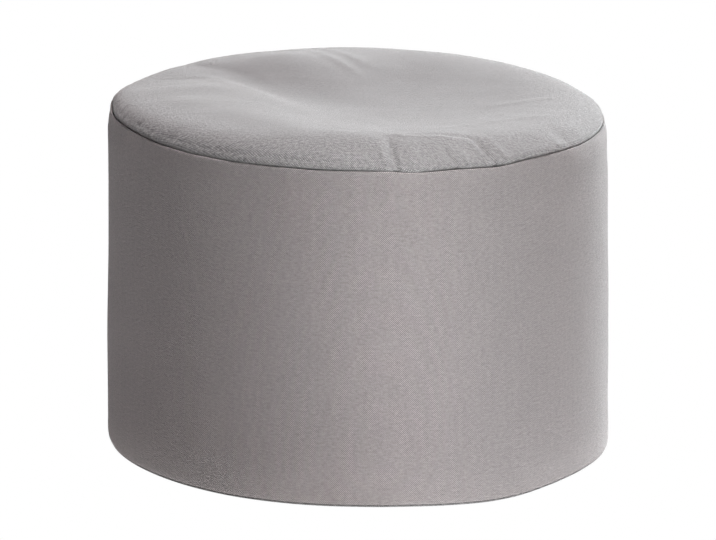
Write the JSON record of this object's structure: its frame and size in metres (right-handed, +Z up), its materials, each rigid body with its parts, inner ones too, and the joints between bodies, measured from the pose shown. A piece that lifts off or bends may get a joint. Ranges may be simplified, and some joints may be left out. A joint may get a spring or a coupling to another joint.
{
  "type": "bean bag footstool",
  "caption": "Round bean bag footstool in plain grey cloth: a filled drum-shaped bag with a seamed, softly dented top and a flat base.",
  "frame": {"origin": "centre of the base panel, on the floor", "axes": "+Z up, through the top panel; -Y towards the viewer in front, +X to that viewer's right"},
  "size_m": [0.5045, 0.5024, 0.3639],
  "materials": {
    "side_panel": "matte plain-weave cloth, warm mid grey",
    "top_panel": "matte plain-weave cloth, warm mid grey",
    "base_panel": "matte plain-weave cloth, warm mid grey"
  },
  "bodies": {
    "root": {"side_panel": "side_panel", "top_panel": "top_panel", "base_panel": "base_panel"}
  },
  "joints": []
}
